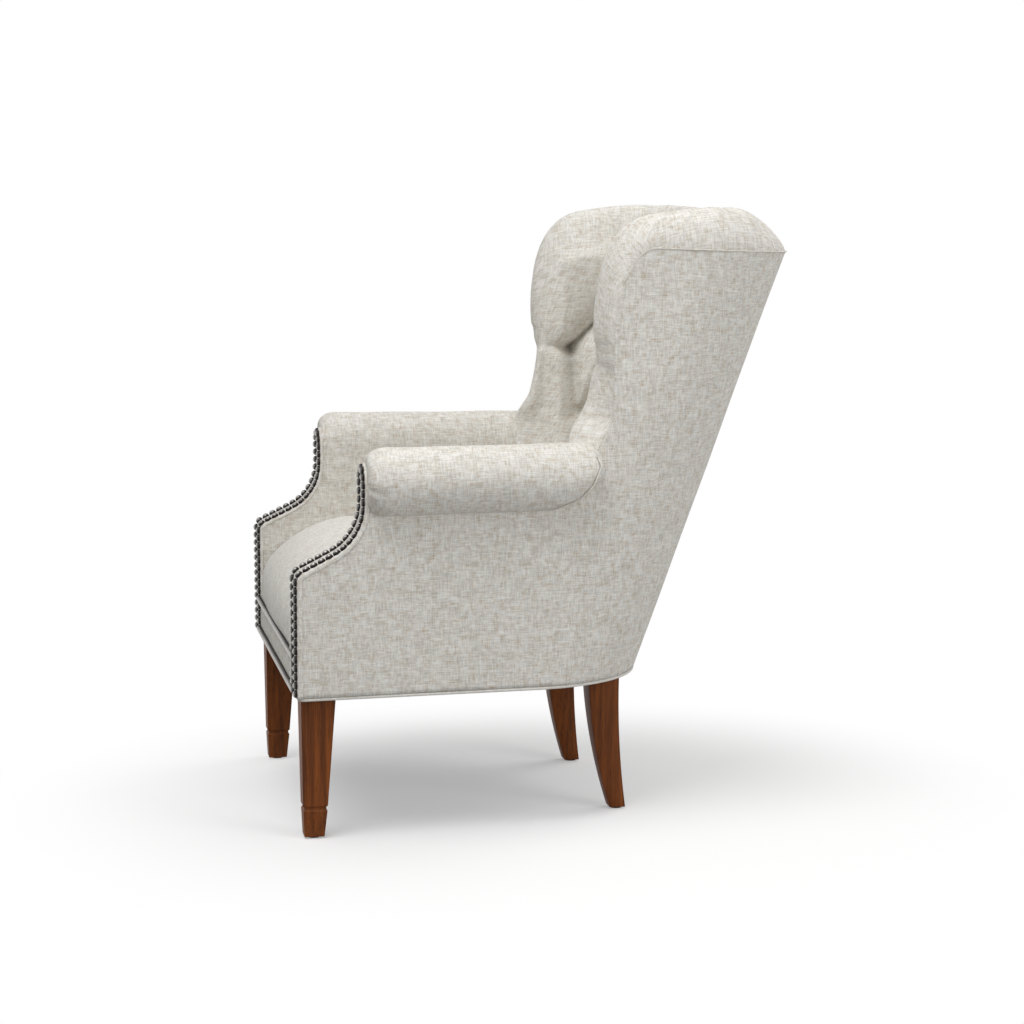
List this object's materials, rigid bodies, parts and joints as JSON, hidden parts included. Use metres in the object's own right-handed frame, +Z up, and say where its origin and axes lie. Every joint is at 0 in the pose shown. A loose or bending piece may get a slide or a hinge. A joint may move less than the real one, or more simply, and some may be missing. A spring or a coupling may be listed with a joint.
{
  "type": "wingback chair",
  "caption": "Upholstered barrel wingback chair with a tufted inside back, rolled arms with nailed facings, a crowned tight seat, a rolled top and square tapered front legs.",
  "frame": {"origin": "on the floor under the middle of the chair's bounding box", "axes": "+Z up; the chair faces -Y; +X is the sitter's left, and the chair is symmetric about the YZ plane"},
  "size_m": [0.8296, 0.9279, 1.0611],
  "materials": {
    "linen": "matte",
    "welt": "matte",
    "button": "matte",
    "foam": "matte",
    "burlap": "matte",
    "webbing": "matte",
    "dust_cloth": "matte",
    "walnut": "satin",
    "frame_wood": "matte",
    "nailhead": "satin",
    "steel": "satin",
    "glide": "matte"
  },
  "bodies": {
    "chair": {"front_leg_left": "walnut", "rear_leg_left": "walnut", "seat_rail_left": "frame_wood", "arm_post_left": "frame_wood", "arm_rail_left": "frame_wood", "rear_arm_post_left": "frame_wood", "belt_rail_left": "frame_wood", "back_post_left": "frame_wood", "wing_post_left": "frame_wood", "wing_top_rail_left": "frame_wood", "arm_pad_left": "linen", "arm_facing_left": "linen", "outside_panel_left": "linen", "roll_end_welt_left": "welt", "facing_nails_left": "nailhead", "front_leg_right": "walnut", "rear_leg_right": "walnut", "seat_rail_right": "frame_wood", "arm_post_right": "frame_wood", "arm_rail_right": "frame_wood", "rear_arm_post_right": "frame_wood", "belt_rail_right": "frame_wood", "back_post_right": "frame_wood", "wing_post_right": "frame_wood", "wing_top_rail_right": "frame_wood", "arm_pad_right": "linen", "arm_facing_right": "linen", "outside_panel_right": "linen", "roll_end_welt_right": "welt", "facing_nails_right": "nailhead", "glides": "glide", "seat_rail_front": "frame_wood", "seat_rail_rear": "frame_wood", "corner_blocks": "frame_wood", "leg_bolts": "steel", "leg_nuts": "steel", "lumbar_rail": "frame_wood", "crest_rail": "frame_wood", "back_web_upright": "webbing", "back_web_cross": "webbing", "back_burlap": "burlap", "inside_back_pad": "linen", "back_buttons": "button", "top_roll": "linen", "outside_back": "linen", "front_border": "linen", "seat_springs": "steel", "spring_clips": "steel", "spring_ties": "steel", "seat_deck": "burlap", "seat_foam": "foam", "seat_cover": "linen", "bottom_welt": "welt", "top_welt": "welt", "border_nails": "nailhead", "dust_cover": "dust_cloth", "dust_cover_staples": "steel"}
  },
  "joints": []
}
